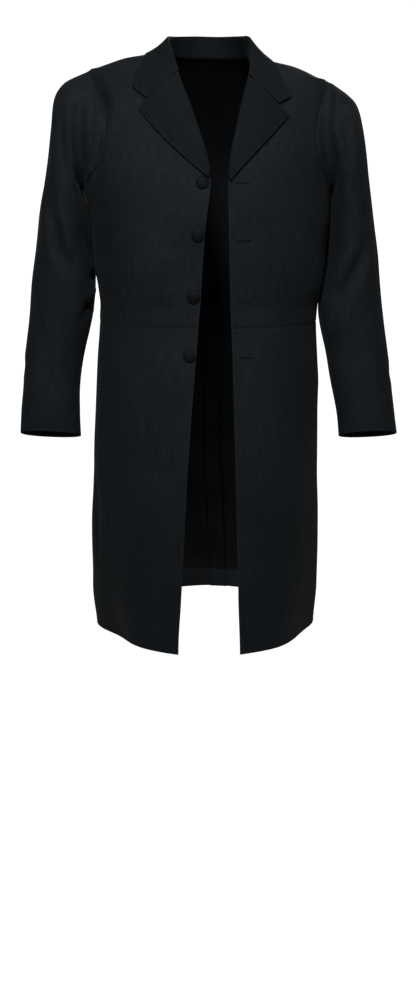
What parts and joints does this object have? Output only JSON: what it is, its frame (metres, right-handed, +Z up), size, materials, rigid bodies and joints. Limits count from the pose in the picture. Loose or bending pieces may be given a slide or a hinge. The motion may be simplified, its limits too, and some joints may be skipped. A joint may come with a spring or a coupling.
{
  "type": "frock coat",
  "caption": "Knee-length frock coat with notched lapels, turned collar, waist seam and full skirts, worn open, empty and hollow.",
  "frame": {"origin": "where the coat is carried: on the centre line between the shoulders, at the height of the neck point", "axes": "+Z up, the open front faces -Y, the wearer's left is at +X"},
  "size_m": [0.6777, 0.4163, 1.0582],
  "materials": {
    "coat_cloth": "matte dark wool cloth, fine weave",
    "lapel_cloth": "matte dark wool cloth, fine weave",
    "button_cloth": "matte dark wool cloth, fine weave"
  },
  "bodies": {
    "root": {"back_left": "coat_cloth", "back_right": "coat_cloth", "side_body_left": "coat_cloth", "side_body_right": "coat_cloth", "front_left": "coat_cloth", "front_right": "coat_cloth", "skirt_left": "coat_cloth", "skirt_right": "coat_cloth", "top_sleeve_left": "coat_cloth", "top_sleeve_right": "coat_cloth", "under_sleeve_left": "coat_cloth", "under_sleeve_right": "coat_cloth", "lapel_left": "lapel_cloth", "lapel_right": "lapel_cloth", "collar": "lapel_cloth", "button_1": "button_cloth", "button_2": "button_cloth", "button_3": "button_cloth", "button_4": "button_cloth"}
  },
  "joints": []
}
